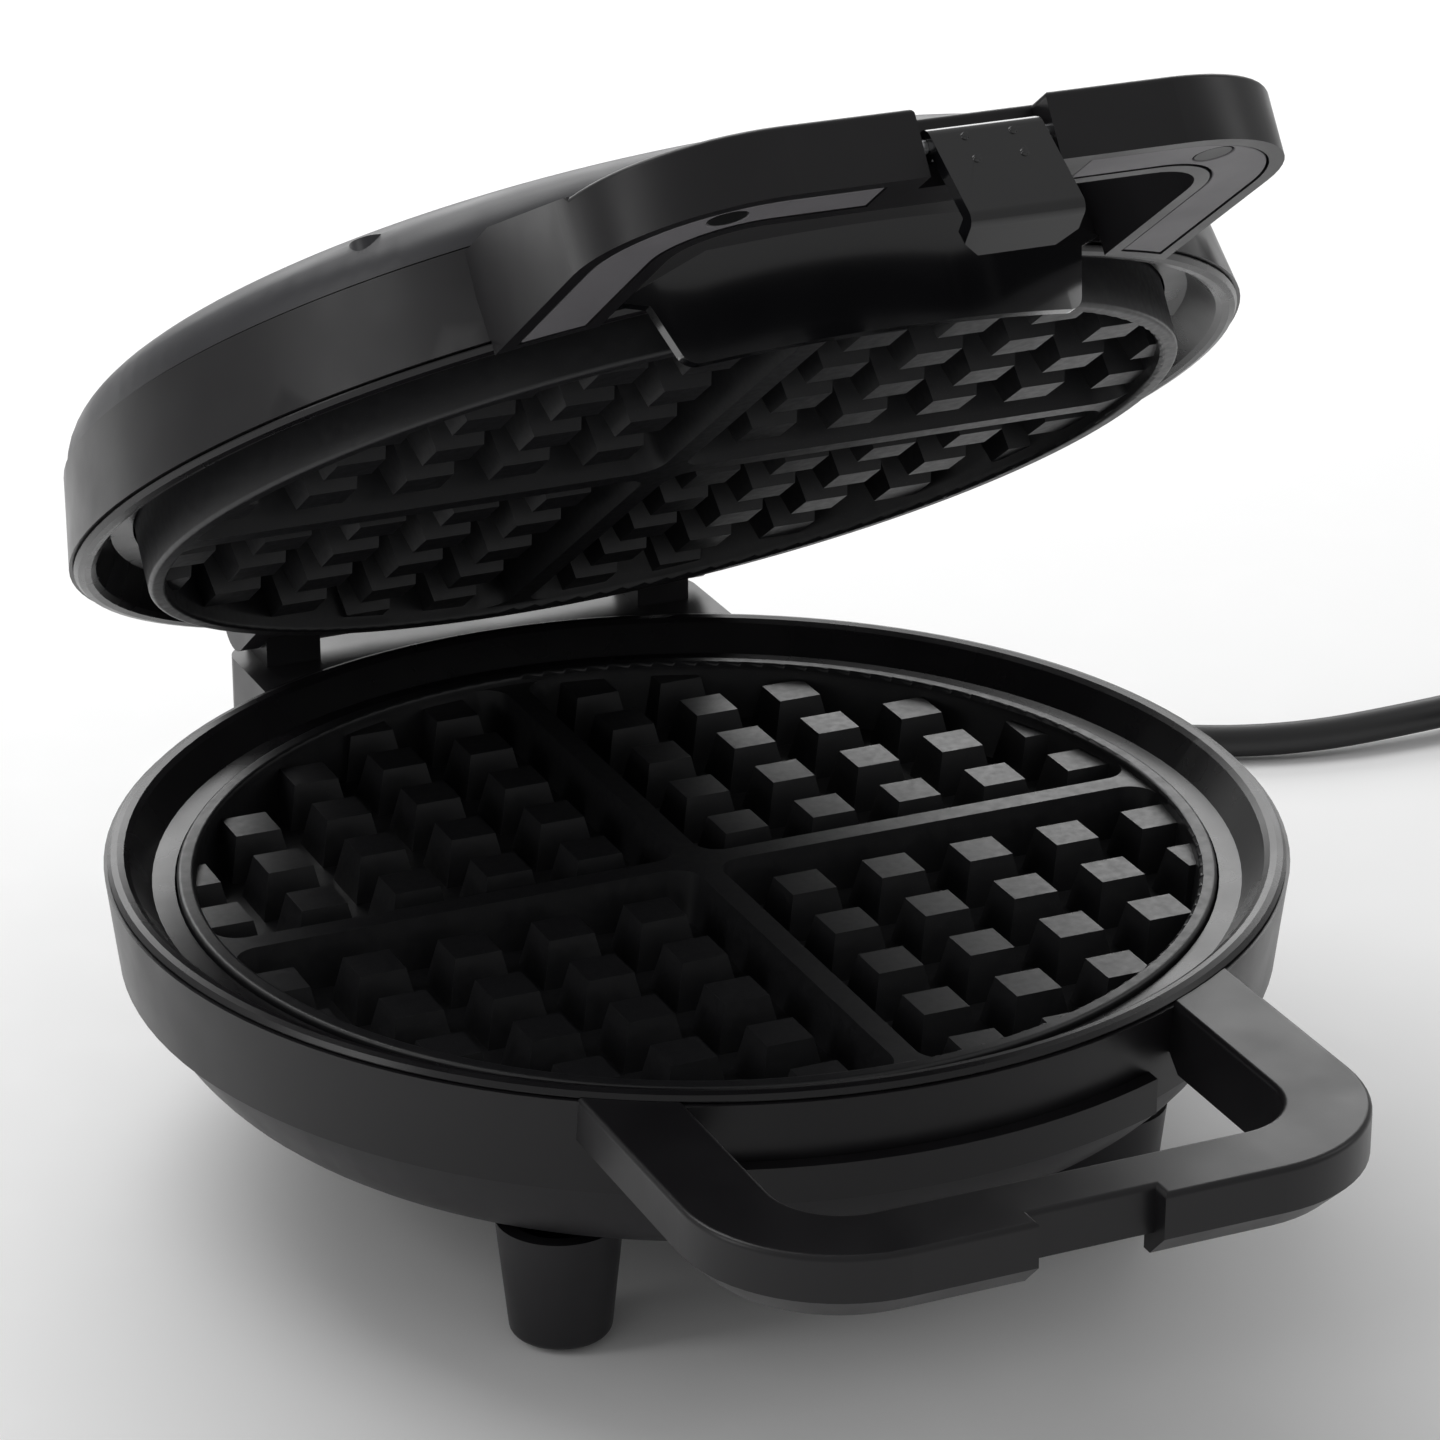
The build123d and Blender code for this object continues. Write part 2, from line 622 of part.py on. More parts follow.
# Shut lid: casing ring with loop handle and hinge ears
lug_z = upper_back + 1.4
lid_notch_half = notch_width / 2
hollow_half = 17.0
handle_screw_x = 41.0
handle_screw_y = -(handle_front - 8.5)
handle_hollow_top = lid_handle_bottom + lid_handle_height - wall
lid_edge_clear = 0.5
with BuildPart() as lid_belt:
    with BuildSketch(Plane.XY.offset(lid_handle_bottom)):
        loop_outline()
        Circle(belt_radius - wall / 2, mode=Mode.SUBTRACT)
    extrude(amount=lid_handle_root)
    with BuildSketch(Plane.YZ) as handle_slope:
        with BuildLine():
            Polyline(
                (-belt_radius + 8, lid_handle_bottom + lid_handle_root),
                (-belt_radius - 26, lid_handle_bottom + lid_handle_height),
                (-handle_front - 5, lid_handle_bottom + lid_handle_height),
                (-handle_front - 5, lid_handle_bottom + 2 * lid_handle_root),
                (-belt_radius + 8, lid_handle_bottom + 2 * lid_handle_root),
                close=True,
            )
        make_face()
    extrude(amount=handle_half + 5, both=True, mode=Mode.SUBTRACT)
    for side in (-1, 1):
        with BuildSketch(Plane.XY.offset(lid_handle_bottom)):
            loop_outline(wall, wall)
            Circle(belt_radius + wall, mode=Mode.SUBTRACT)
            with Locations((side * (hollow_half + 50), -100)):
                Rectangle(100, 200, mode=Mode.INTERSECT)
        extrude(amount=lid_handle_height - wall, mode=Mode.SUBTRACT)
    with Locations((0, -handle_front, lid_handle_bottom + 5)):
        Box(notch_width, 2 * lid_notch_depth, 40, mode=Mode.SUBTRACT)
    top_edges = lid_belt.edges().filter_by(
        lambda edge: abs(edge.center().Z - (lid_handle_bottom + lid_handle_height)) < 0.01
        and edge.center().Y < -belt_radius - 20
        and abs(edge.bounding_box().size.Z) < 0.01
        and edge.length > 3
    )
    fillet(top_edges, 1.0)
    with BuildSketch(Plane.YZ):
        with Locations((hinge_y, hinge_z)):
            Circle(knuckle_radius + 0.5)
        with BuildLine():
            Polyline(
                (hinge_y - ear_reach, lid_belt_bottom),
                (hinge_y, hinge_z - knuckle_radius - 0.5),
                (hinge_y, hinge_z + knuckle_radius + 0.5),
                (hinge_y - ear_reach, lid_belt_bottom + 13.5),
                close=True,
            )
        make_face()
    extrude(amount=hinge_half, both=True)
    with BuildSketch(Plane.XY.offset(lid_handle_bottom - 1)):
        Circle(belt_radius - wall)
    extrude(amount=lid_handle_root * 2, mode=Mode.SUBTRACT)
    with BuildSketch(Plane.XY.offset(lid_handle_bottom - 1)):
        Circle(belt_radius + lid_edge_clear)
    extrude(amount=lid_belt_bottom - lid_handle_bottom + 1, mode=Mode.SUBTRACT)
    belt_ring(lid_belt_bottom, lid_belt_top, belt_radius, belt_radius - belt_draft - 0.6)
    with BuildSketch(Plane.XY.offset(lug_z)):
        with PolarLocations(screw_ring, 4, start_angle=45):
            Circle(boss_radius)
            with Locations((2.7, 0)):
                Rectangle(5.4, 2 * boss_radius)
            Circle(screw_radius + 0.2, mode=Mode.SUBTRACT)
    extrude(amount=lug_height)
    with BuildSketch(Plane.XY.offset(lug_z + lug_height)):
        with PolarLocations(screw_ring, 4, start_angle=45):
            Circle(boss_radius + seam)
    extrude(amount=lid_belt_height, mode=Mode.SUBTRACT)
    for side in (-1, 1):
        slot_width = knuckle_width + 2 * running_gap
        with Locations((side * knuckle_place, hinge_y - knuckle_radius - 0.7, hinge_z)):
            Box(slot_width, 40, 30, align=(Align.CENTER, Align.MIN, Align.CENTER), mode=Mode.SUBTRACT)
    with BuildSketch(Plane.YZ):
        with Locations((hinge_y, hinge_z)):
            Circle(pin_radius)
    extrude(amount=hinge_half + 1, both=True, mode=Mode.SUBTRACT)
    with Locations((0, hinge_y, hinge_z)):
        Box(2 * (knuckle_place - knuckle_width / 2) - 16, 2 * pin_radius + 1, 2 * pin_radius + 1)
    with BuildSketch(Plane.YZ):
        with Locations((latch_pivot_y, latch_pivot_z)):
            Circle(latch_pin_radius)
    extrude(amount=lid_notch_half + 3.5, both=True, mode=Mode.SUBTRACT)
    for side in (-1, 1):
        with Locations((side * handle_screw_x, handle_screw_y, handle_hollow_top)):
            Cylinder(3.0, handle_hollow_top - lid_handle_bottom - 2.4, align=(Align.CENTER, Align.CENTER, Align.MAX))
            Cylinder(screw_radius + thread_clearance, handle_hollow_top - lid_handle_bottom - 2.4,
                     align=(Align.CENTER, Align.CENTER, Align.MAX), mode=Mode.SUBTRACT)
finish_lid(lid_belt.part, "lid_belt")

# Covers that close the hollow lid handle from below, left and right
for side, name in ((-1, "handle_cover_left"), (1, "handle_cover_right")):
    with BuildPart() as handle_cover:
        with BuildSketch(Plane.XY.offset(lid_handle_bottom + 0.1)):
            loop_outline(wall + seam, wall + seam)
            Circle(belt_radius + wall + seam, mode=Mode.SUBTRACT)
            with Locations((side * (hollow_half + 50 + seam), -100)):
                Rectangle(100, 200, mode=Mode.INTERSECT)
            with Locations((side * handle_screw_x, handle_screw_y)):
                Circle(screw_radius + 0.2, mode=Mode.SUBTRACT)
        extrude(amount=1.9)
        with Locations((side * handle_screw_x, handle_screw_y, lid_handle_bottom)):
            Cylinder(screw_head + 0.3, 1.3, align=(Align.CENTER, Align.CENTER, Align.MIN), mode=Mode.SUBTRACT)
    finish_lid(handle_cover.part, name)

with BuildPart() as handle_screws:
    with Locations(*[(side * handle_screw_x, handle_screw_y, lid_handle_bottom + 0.2) for side in (-1, 1)]):
        Cylinder(screw_head, 1.0, align=(Align.CENTER, Align.CENTER, Align.MIN))
        Cylinder(screw_radius, 7.0, align=(Align.CENTER, Align.CENTER, Align.MIN))
finish_lid(handle_screws.part, "handle_screws")

# Front guard that hangs from the lid into the lower handle's loop
guard_inner = belt_radius + 1.2
guard_thick = 2.2
guard_top = rim_height + 7.0
guard_bottom = rim_height - 10.5
guard_pad = 5.0
with BuildPart() as front_guard:
    with BuildSketch(Plane.XY.offset(guard_bottom)):
        Circle(guard_inner + guard_thick)
        Circle(guard_inner, mode=Mode.SUBTRACT)
        with Locations((0, -belt_radius)):
            Rectangle(100, belt_radius, mode=Mode.INTERSECT)
    extrude(amount=guard_top - guard_bottom)
    with BuildSketch(Plane.XZ.offset(belt_radius / 2)):
        with BuildLine():
            Polyline(
                (-34.5, guard_bottom),
                (34.5, guard_bottom),
                (38, rim_height + 0.2),
                (42.5, rim_height + 2.0),
                (28, guard_top),
                (-28, guard_top),
                (-42.5, rim_height + 2.0),
                (-38, rim_height + 0.2),
                close=True,
            )
        make_face()
        fillet(vertices().group_by(Axis.Y)[0], 3.0)
    extrude(amount=belt_radius, mode=Mode.INTERSECT)
    for side in (-1, 1):
        with Locations(Location((side * 20, -math.sqrt(guard_inner ** 2 - 400), rim_height + 4.2), (90, 0, 0))):
            Cylinder(guard_pad / 2, 2.4)
    with BuildSketch(Plane.XY.offset(guard_bottom - 1)):
        Circle(belt_radius + 0.1)
    extrude(amount=guard_top - guard_bottom + 2, mode=Mode.SUBTRACT)
finish_lid(front_guard.part, "front_guard")


# Satin dome over the lid
dome_edge = belt_radius - belt_draft - 1.4
dome_base = lid_belt_top + seam
dome_top = rim_height + lid_height
crown_reach = belt_radius - 13.0
crown_drop = 6.0
crown_radius = (crown_reach ** 2 + crown_drop ** 2) / (2 * crown_drop)
dome_wall = 2.0


def dome_face(inset):
    """Half section of the dome; a larger inset gives the inside surface."""
    slope = math.asin(crown_reach / crown_radius)
    with BuildLine() as outline:
        crown = ThreePointArc(
            (0, dome_top - inset),
            (crown_reach / 2, dome_top - inset - (crown_radius - math.sqrt(crown_radius ** 2 - crown_reach ** 2 / 4))),
            (crown_reach, dome_top - inset - crown_drop),
        )
        shoulder = TangentArc(
            crown @ 1,
            (dome_edge - inset, dome_base),
            tangent=(math.cos(slope), -math.sin(slope)),
        )
        Line(shoulder @ 1, (0, dome_base))
        Line((0, dome_base), (0, dome_top - inset))
    make_face(outline.edges())


lens_x = 10.0
lens_y = -(belt_radius - 26.0)
lens_radius = 3.5
lens_z = dome_top - (crown_radius - math.sqrt(crown_radius ** 2 - lens_x ** 2 - lens_y ** 2))
dome_boss_bottom = lug_z + lug_height + 0.1
post_bottom = lid_reflector_z + reflector_sheet + 0.2
lamp_post_y = lens_y + 6.0
lamp_post_x = 18.0
lamp_board_z = 84.0
with BuildPart() as lid_dome:
    with BuildSketch(Plane.XZ):
        dome_face(0)
    revolve(axis=Axis.Z)
    with BuildSketch(Plane.XZ):
        dome_face(dome_wall)
    revolve(axis=Axis.Z, mode=Mode.SUBTRACT)
    with BuildPart(mode=Mode.PRIVATE) as posts:
        with BuildSketch(Plane.XY.offset(post_bottom)):
            for angle in post_angles:
                with Locations((post_ring * math.cos(math.radians(angle)), post_ring * math.sin(math.radians(angle)))):
                    Circle(post_radius)
        extrude(amount=dome_top - 5.5 - post_bottom)
        with BuildSketch(Plane.XY.offset(dome_boss_bottom)):
            with PolarLocations(screw_ring, 4, start_angle=45):
                Circle(boss_radius)
        extrude(amount=86.6 - dome_boss_bottom)
        with BuildSketch(Plane.XY.offset(lamp_board_z + 1.6)):
            with Locations((-lamp_post_x, lamp_post_y), (lamp_post_x, lamp_post_y)):
                Circle(2.5)
        extrude(amount=5.0)
    add(posts.part)
    with BuildSketch(Plane.XY.offset(dome_boss_bottom)):
        with PolarLocations(screw_ring, 4, start_angle=45):
            Circle(screw_radius + thread_clearance)
    extrude(amount=8.5, mode=Mode.SUBTRACT)
    with BuildSketch(Plane.XY.offset(post_bottom)):
        for angle in post_angles:
            with Locations((post_ring * math.cos(math.radians(angle)), post_ring * math.sin(math.radians(angle)))):
                Circle(screw_radius + thread_clearance)
    extrude(amount=6.5, mode=Mode.SUBTRACT)
    with BuildSketch(Plane.XY.offset(lamp_board_z)):
        with Locations((-lens_x, lens_y), (lens_x, lens_y)):
            Circle(lens_radius + 0.1)
    extrude(amount=12, mode=Mode.SUBTRACT)
finish_lid(lid_dome.part, "lid_dome")

# Two round indicator lenses in the dome and the lamps under them
for side, name in ((-1, "power_lens"), (1, "ready_lens")):
    with BuildPart() as lens:
        with Locations((side * lens_x, lens_y, lens_z - 2.6)):
            Cylinder(lens_radius, 3.4, align=(Align.CENTER, Align.CENTER, Align.MIN))
        fillet(lens.edges().group_by(Axis.Z)[-1], 0.7)
    finish_lid(lens.part, name)

with BuildPart() as lamp_board:
    with Locations((0, lens_y + 3, lamp_board_z)):
        Box(44, 14, 1.5, align=(Align.CENTER, Align.CENTER, Align.MIN))
    with Locations((-lens_x, lens_y, lamp_board_z + 1.5), (lens_x, lens_y, lamp_board_z + 1.5)):
        Cylinder(2.2, lens_z - 2.8 - lamp_board_z - 1.5, align=(Align.CENTER, Align.CENTER, Align.MIN))
finish_lid(lamp_board.part, "lamp_board")

# Upper cooking plate: the same casting turned over, with its heater and pan
mirror_plane = (lower_ring_top + upper_ring_bottom) / 2
boss_drop_lower = boss_drop


def turned_over(piece, face):
    """Turns a piece that was drawn facing up so that it faces down."""
    return piece.mirror(Plane.XY.offset(face))


upper_plate = turned_over(plate_body(upper_ring_bottom), upper_ring_bottom)
finish_lid(upper_plate, "upper_plate")
finish_lid(element_tube(upper_back + element_boss), "upper_element")
finish_lid(reflector_pan(lid_reflector_z, -1), "upper_reflector")

with BuildPart() as upper_plate_screws:
    with PolarLocations(plate_boss_ring, 4, start_angle=45):
        with Locations((0, 0, lid_reflector_z + reflector_sheet)):
            Cylinder(screw_head, screw_head_height, align=(Align.CENTER, Align.CENTER, Align.MIN))
            Cylinder(screw_radius, 7.0, align=(Align.CENTER, Align.CENTER, Align.MAX))
finish_lid(upper_plate_screws.part, "upper_plate_screws")

with BuildPart() as lid_post_screws:
    for angle in post_angles:
        with Locations((post_ring * math.cos(math.radians(angle)), post_ring * math.sin(math.radians(angle)), lid_reflector_z)):
            Cylinder(screw_head, screw_head_height, align=(Align.CENTER, Align.CENTER, Align.MAX))
            Cylinder(screw_radius, 6.0, align=(Align.CENTER, Align.CENTER, Align.MIN))
finish_lid(lid_post_screws.part, "lid_post_screws")

with BuildPart() as dome_screws:
    with PolarLocations(screw_ring, 4, start_angle=45):
        with Locations((0, 0, lug_z)):
            Cylinder(screw_head, screw_head_height, align=(Align.CENTER, Align.CENTER, Align.MAX))
            Cylinder(screw_radius, 9.0, align=(Align.CENTER, Align.CENTER, Align.MIN))
finish_lid(dome_screws.part, "dome_screws")

# Hinge pins, pressed into the lid and running in the lower knuckles
with BuildPart() as hinge_pins:
    for side in (-1, 1):
        inner = knuckle_place - knuckle_width / 2 - running_gap - 7.0
        with Locations(Location((side * (inner + hinge_half - 0.4) / 2, hinge_y, hinge_z), (0, 90, 0))):
            Cylinder(pin_radius, hinge_half - 0.4 - inner)
finish_lid(hinge_pins.part, "hinge_pins")

# Latch: rolled top, flat face with four pips, hook at the bottom
tip_chamfer = 3.0
with BuildPart() as latch:
    with BuildSketch(Plane.YZ):
        with Locations((latch_pivot_y, latch_pivot_z)):
            Circle(latch_radius)
        face_y = latch_pivot_y - latch_radius
        hook_z = latch_pivot_z - latch_bend
        with BuildLine():
            FilletPolyline(
                (face_y, latch_pivot_z),
                (face_y, hook_z),
                (latch_pivot_y + latch_reach, hook_z),
                radius=1.8,
            )
            Polyline(
                (latch_pivot_y + latch_reach, hook_z),
                (latch_pivot_y + latch_reach, hook_z + latch_tongue),
                (face_y + latch_plate, hook_z + latch_tongue),
                (face_y + latch_plate, latch_pivot_z),
                (face_y, latch_pivot_z),
            )
        make_face()
        with Locations((latch_pivot_y, latch_pivot_z)):
            Circle(latch_pin_radius + pin_clearance, mode=Mode.SUBTRACT)
    extrude(amount=latch_width / 2, both=True)
    tip_edges = latch.edges().filter_by(Axis.Z).filter_by(
        lambda edge: edge.center().Y > latch_pivot_y + latch_reach - 0.1
    )
    chamfer(tip_edges, tip_chamfer)
    for row in (0, 1):
        for side in (-1, 1):
            place = (side * 4.0, face_y, latch_pivot_z - 1.0 - 4.6 * row)
            with Locations(Location(place, (90, 0, 0))):
                Cone(pip_radius, pip_radius * 0.6, 0.8)
finish(latch.part.rotate(latch_axis, -latch_rest_angle).rotate(hinge_axis, -lid_open_angle), "latch")

with BuildPart() as latch_pin:
    with Locations(Location((0, latch_pivot_y, latch_pivot_z), (0, 90, 0))):
        Cylinder(latch_pin_radius, notch_width + 6.0)
finish_lid(latch_pin.part, "latch_pin")

# Strain relief: flange inside, collar outside and a tapering boot
with BuildPart() as strain_relief:
    with BuildSketch(Plane.YZ.offset(exit_x)):
        with BuildLine():
            Polyline(
                (block_back - wall - 2.5, exit_z),
                (block_back - wall - 2.5, exit_z + 6.4),
                (block_back - wall - 0.1, exit_z + 6.4),
                (block_back - wall - 0.1, exit_z + 4.8),
                (block_back + 0.1, exit_z + 4.8),
                (block_back + 0.1, exit_z + 6.2),
                (block_back + 2.6, exit_z + 6.2),
                (block_back + 2.6, exit_z + 5.4),
                (relief_end, exit_z + cord_radius + 0.8),
                (relief_end, exit_z),
                close=True,
            )
        make_face()
    revolve(axis=Axis((exit_x, 0, exit_z), (0, 1, 0)))
    for step in range(4):
        groove_y = block_back + 8.0 + 4.5 * step
        for side in (-1, 1):
            with Locations((exit_x + side * 6.2, groove_y, exit_z)):
                Box(4.0, 2.2, 20, mode=Mode.SUBTRACT)
finish(strain_relief.part, "strain_relief")

# Mains cord: route on the table, as straight runs with tangent arcs
cord_route = [
    (exit_x, relief_end, exit_z),
    (26.0, 166.0, exit_z),
    (28.0, 189.0, 44.0),
    (38.0, 208.0, 29.0),
    (60.0, 217.0, 12.5),
    (87.0, 209.0, 4.6),
    (108.0, 190.0, cord_rest),
    (124.0, 158.0, cord_rest),
    (148.0, 124.0, cord_rest),
    (182.0, 105.0, cord_rest),
    (222.0, 103.0, coil_rest),
    (258.0, 107.4, coil_rest),
]


def corner_radii(points):
    """Arc radius for each inner corner, as large as its two runs allow."""
    radii = []
    for before, at, after in zip(points, points[1:], points[2:]):
        first = Vector(*at) - Vector(*before)
        second = Vector(*after) - Vector(*at)
        half_turn = math.radians(first.get_angle(second)) / 2
        radii.append(0.45 * min(first.length, second.length) / math.tan(half_turn))
    return radii


cord_radii = corner_radii(cord_route)
print("cord corner radii:", [round(radius, 1) for radius in cord_radii])
with BuildPart() as mains_cord:
    with BuildLine() as cord_path:
        FilletPolyline(*cord_route, radius=cord_radii)
    cord_wire = cord_path.wires()[0]
    with BuildSketch(Plane(cord_wire @ 0, z_dir=cord_wire % 0)):
        Circle(cord_radius)
    sweep(path=cord_wire)
cord_length = cord_wire.length
print("cord tube length:", round(cord_length, 1))
print("volume over section times length:",
      round(mains_cord.part.volume / (math.pi * cord_radius ** 2 * cord_length), 4))
finish(mains_cord.part, "mains_cord")

# Put-away coil: spirals in, climbs a layer while it turns back, spirals out
coil_start = Vector(*cord_route[-1])
coil_heading = Vector(cord_wire % 1).normalized()
coil_heading = Vector(coil_heading.X, coil_heading.Y, 0).normalized()
stub = 2 * cord_radius
spiral_start = coil_start + coil_heading * stub
coil_right = Vector(coil_heading.Y, -coil_heading.X, 0)
coil_centre = spiral_start + coil_right * coil_outer
first_angle = math.atan2(-coil_right.Y, -coil_right.X)
climb_from = (coil_turns - 0.5) / 2
climb_to = climb_from + 0.5
coil_inner = coil_outer - coil_pitch * climb_from


def coil_point(turn):
    """Place of the coil's axis after a number of turns, clockwise from above."""
    if turn < climb_from:
        radius = coil_outer - coil_pitch * turn
        lift = 0.0
    elif turn < climb_to:
        radius = coil_inner
        lift = coil_lift * (turn - climb_from) / 0.5
    else:
        radius = coil_inner + coil_pitch * (turn - climb_to)
        lift = coil_lift
    angle = first_angle - 2 * math.pi * turn
    return Vector(
        coil_centre.X + radius * math.cos(angle),
        coil_centre.Y + radius * math.sin(angle),
        coil_rest + lift,
    )


def coil_direction(turn):
    """Direction of the coil's axis, level where a layer starts or ends."""
    step = 0.002
    before = coil_point(max(turn - step, 0))
    after = coil_point(min(turn + step, coil_turns))
    heading = after - before
    return heading.normalized()


def biarc_joint(start, start_dir, end, end_dir):
    """Where two tangent arcs meet between two points with given directions."""
    chord = end - start
    total = start_dir + end_dir
    a = 2 * (start_dir.dot(end_dir) - 1)
    b = -2 * chord.dot(total)
    c = chord.dot(chord)
    reach = (-b - math.sqrt(b * b - 4 * a * c)) / (2 * a)
    joint = (start + end + (start_dir - end_dir) * reach) * 0.5
    heading = (chord - total * reach).normalized()
    return joint, heading


def coil_steps():
    """Turn counts where the biarcs start and end, a quarter turn or less apart."""
    marks = [0.0]
    for low, high in ((0.0, climb_from), (climb_from, climb_to), (climb_to, coil_turns)):
        count = math.ceil((high - low) / 0.25)
        marks += [low + (high - low) * (step + 1) / count for step in range(count)]
    return marks


marks = coil_steps()
headings = [coil_direction(mark) for mark in marks]
headings[0] = coil_heading
with BuildPart() as cord_coil:
    with BuildLine() as coil_path:
        Line(coil_start, spiral_start)
        for low, high, enter, leave in zip(marks, marks[1:], headings, headings[1:]):
            start = coil_point(low)
            end = coil_point(high)
            joint, heading = biarc_joint(start, enter, end, leave)
            TangentArc(start, joint, tangent=enter)
            TangentArc(joint, end, tangent=heading)
        Line(coil_point(coil_turns), coil_point(coil_turns) + headings[-1] * plug_lead)
    coil_wire = coil_path.wires()[0]
    with BuildSketch(Plane(coil_wire @ 0, z_dir=coil_wire % 0)):
        Circle(cord_radius)
    sweep(path=coil_wire)
samples = [coil_wire @ (step / 600) for step in range(601)]
spacing = coil_wire.length / 600
near = min(
    (samples[i] - samples[j]).length
    for i in range(0, 601, 2)
    for j in range(0, i)
    if (i - j) * spacing > 40
)
print("coil length:", round(coil_wire.length, 1), "least gap to itself:", round(near - 2 * cord_radius, 2))
print("cord from boot to plug:", round(cord_length + coil_wire.length, 1))
finish(cord_coil.part, "cord_coil")

# Tie round the coil's turns
tie_turn = 0.5
tie_slack = 1.2
tie_angle = first_angle - 2 * math.pi * tie_turn
tie_radii = [
    (coil_point(turn) - Vector(coil_centre.X, coil_centre.Y, coil_point(turn).Z)).length
    for turn in (tie_turn, tie_turn + 1)
]
tie_inner = min(tie_radii) - cord_radius - tie_slack
tie_outer = max(tie_radii) + cord_radius + tie_slack
tie_top = coil_rest + coil_lift + cord_radius + 0.6
tie_plane = Plane(
    origin=(coil_centre.X, coil_centre.Y, 0),
    x_dir=(math.cos(tie_angle), math.sin(tie_angle), 0),
    z_dir=(math.sin(tie_angle), -math.cos(tie_angle), 0),
)
with BuildPart() as cord_tie:
    with BuildSketch(tie_plane):
        middle = (tie_inner + tie_outer) / 2
        with Locations((middle, (tie_top + 1.0) / 2 + 0.05)):
            RectangleRounded(tie_outer - tie_inner + 2.0, tie_top + 1.0, 3.0)
            RectangleRounded(tie_outer - tie_inner, tie_top - 1.0, 2.4, mode=Mode.SUBTRACT)
    extrude(amount=5.0, both=True)
finish(cord_tie.part, "cord_tie")

# Plug with two flat blades, lying beside the coil
plug_start = coil_wire @ 1
plug_heading = Vector((coil_wire % 1).X, (coil_wire % 1).Y, 0).normalized()
plug_plane = Plane(origin=plug_start, x_dir=(plug_heading.Y, -plug_heading.X, 0), z_dir=plug_heading)
blade_length = 17.0
blade_spacing = 12.7
with BuildPart() as plug_body:
    with BuildSketch(plug_plane):
        RectangleRounded(11, 11, 4)
    with BuildSketch(plug_plane.offset(plug_length * 0.55)):
        RectangleRounded(plug_width, plug_height, 6)
    loft()
    with BuildSketch(plug_plane.offset(plug_length * 0.55)):
        RectangleRounded(plug_width, plug_height, 6)
    extrude(amount=plug_length * 0.45)
finish(plug_body.part, "plug_body")

with BuildPart() as plug_blades:
    with BuildSketch(plug_plane.offset(plug_length + 0.05)):
        with Locations((-blade_spacing / 2, 0), (blade_spacing / 2, 0)):
            Rectangle(1.5, 6.3)
    extrude(amount=blade_length)
finish(plug_blades.part, "plug_blades")
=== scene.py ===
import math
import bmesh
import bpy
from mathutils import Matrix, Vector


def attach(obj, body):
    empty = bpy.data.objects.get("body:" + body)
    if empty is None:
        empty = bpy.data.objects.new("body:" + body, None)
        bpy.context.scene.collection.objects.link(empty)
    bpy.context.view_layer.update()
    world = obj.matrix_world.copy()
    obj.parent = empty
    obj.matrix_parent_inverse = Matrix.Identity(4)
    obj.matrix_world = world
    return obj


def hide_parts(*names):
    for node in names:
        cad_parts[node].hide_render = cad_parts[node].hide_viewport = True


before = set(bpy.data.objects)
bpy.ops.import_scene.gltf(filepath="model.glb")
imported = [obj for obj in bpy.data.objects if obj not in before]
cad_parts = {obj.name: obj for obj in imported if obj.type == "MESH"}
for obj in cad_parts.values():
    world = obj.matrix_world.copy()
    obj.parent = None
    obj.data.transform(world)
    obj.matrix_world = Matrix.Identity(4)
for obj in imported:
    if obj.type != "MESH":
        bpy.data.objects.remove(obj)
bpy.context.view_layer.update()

# %% [markdown]
# A round waffle maker stands open on a pale table. The frame just loaded holds
# every rigid piece at its real size, in metres, with +Z up and the handle
# toward -Y.

MM = 0.001


def mm(x, y, z):
    """A point given in millimetres, as metres."""
    return Vector((x, y, z)) * MM


# %% [markdown]
# The photograph looks down on the cooker from its front left. The camera could
# be placed by eye, but a camera is easier to reason about as a compass angle,
# a height angle and a distance from one aimed point, so it is built from these.

# %% Camera
view_azimuth = math.radians(-24.09)
view_elevation = math.radians(22.91)
view_distance = 969.9 * MM
aim_point = mm(24.04, 43.7, 60.0)
camera_data = bpy.data.cameras.new("photo_camera")
camera_data.sensor_width = 36.0
camera_data.lens = 128.7
camera = bpy.data.objects.new("photo_camera", camera_data)
bpy.context.scene.collection.objects.link(camera)
away = Vector((
    math.sin(view_azimuth) * math.cos(view_elevation),
    -math.cos(view_azimuth) * math.cos(view_elevation),
    math.sin(view_elevation),
))
camera.location = aim_point + away * view_distance
camera.rotation_euler = (-away).to_track_quat("-Z", "Y").to_euler()
bpy.context.scene.camera = camera
print("camera at", [round(v, 3) for v in camera.location])

# %% [markdown]
# The mains cord is one smooth line: straight out of the back, down to the table,
# round to the right and into a small coil that was put away for storage. A NURBS
# curve suits it, because a few listed points give an even, unkinked
# bend. The coil's turns are more points of the same curve. It spirals in on the
# table, climbs one thickness in half a turn and spirals out on top of itself.

# %% Cord route and coil
cord_thickness = 7.0
cord_exit = (26.0, 146.0, 50.0)
cord_route = [
    cord_exit,
    (26.0, 166.0, 50.0),
    (28.0, 189.0, 44.0),
    (38.0, 208.0, 29.0),
    (60.0, 217.0, 12.5),
    (87.0, 209.0, 4.6),
    (108.0, 190.0, 3.6),
    (124.0, 158.0, 3.6),
    (148.0, 124.0, 3.6),
    (182.0, 105.0, 3.6),
    (222.0, 103.0, 4.8),
    (258.0, 107.4, 4.8),
]
coil_radius = 42.0
coil_pitch = 8.7
coil_lift = 7.5
coil_rest = 4.8
coil_turns = 2.25
climb_from = (coil_turns - 0.5) / 2
climb_to = climb_from + 0.5
points_per_turn = 16
coil_heading = (Vector(cord_route[-1]) - Vector(cord_route[-2])).normalized()
